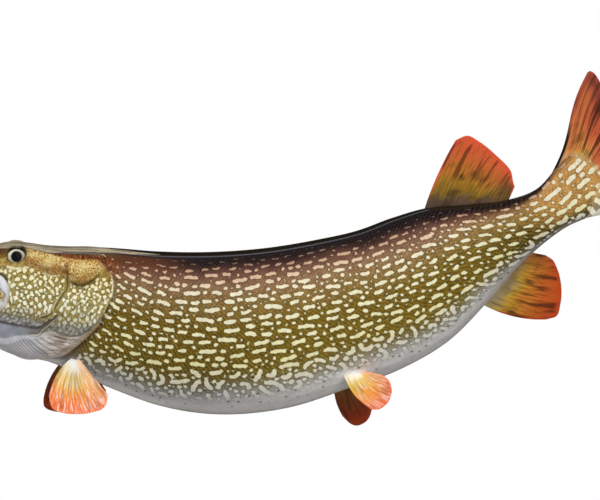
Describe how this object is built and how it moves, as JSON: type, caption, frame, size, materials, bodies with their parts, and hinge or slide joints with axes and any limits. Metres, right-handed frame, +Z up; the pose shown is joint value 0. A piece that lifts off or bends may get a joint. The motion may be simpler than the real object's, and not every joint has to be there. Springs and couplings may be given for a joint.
{
  "type": "mounted northern pike",
  "caption": "Life-size lacquered pike mount in a rising curve, mouth slightly open and fins spread, with a small hanger block at its far flank that hangs flat on a wall.",
  "frame": {"origin": "middle of the hanger block's back face, which lies flat on the wall", "axes": "+Y points into the wall, +Z is up, +X runs from the pike's head to its tail"},
  "size_m": [0.966, 0.1511, 0.4466],
  "materials": {
    "skin": "olive-gold scaled skin with cream spots, dark back and pale belly, under clear lacquer",
    "jaw": "pale grey and cream skin, ivory teeth and grey-pink tongue, under clear lacquer",
    "fins": "orange-red rayed fins with dark streaks, under clear lacquer",
    "eyes": "clear glass over a pale gold iris and a black pupil",
    "hanger_wood": "plain sawn softwood with eased edges",
    "hanger_steel": "zinc-plated pressed steel"
  },
  "bodies": {
    "root": {"head": "skin", "lower_jaw": "jaw", "gill_cover_left": "skin", "gill_cover_right": "skin", "trunk_front": "skin", "trunk_rear": "skin", "tail_stalk": "skin", "dorsal_fin": "fins", "anal_fin": "fins", "tail_fin": "fins", "pectoral_fin_left": "fins", "pectoral_fin_right": "fins", "pelvic_fin_left": "fins", "pelvic_fin_right": "fins", "eye_left": "eyes", "eye_right": "eyes", "hanger_block": "hanger_wood", "hanger_plate": "hanger_steel"}
  },
  "joints": []
}
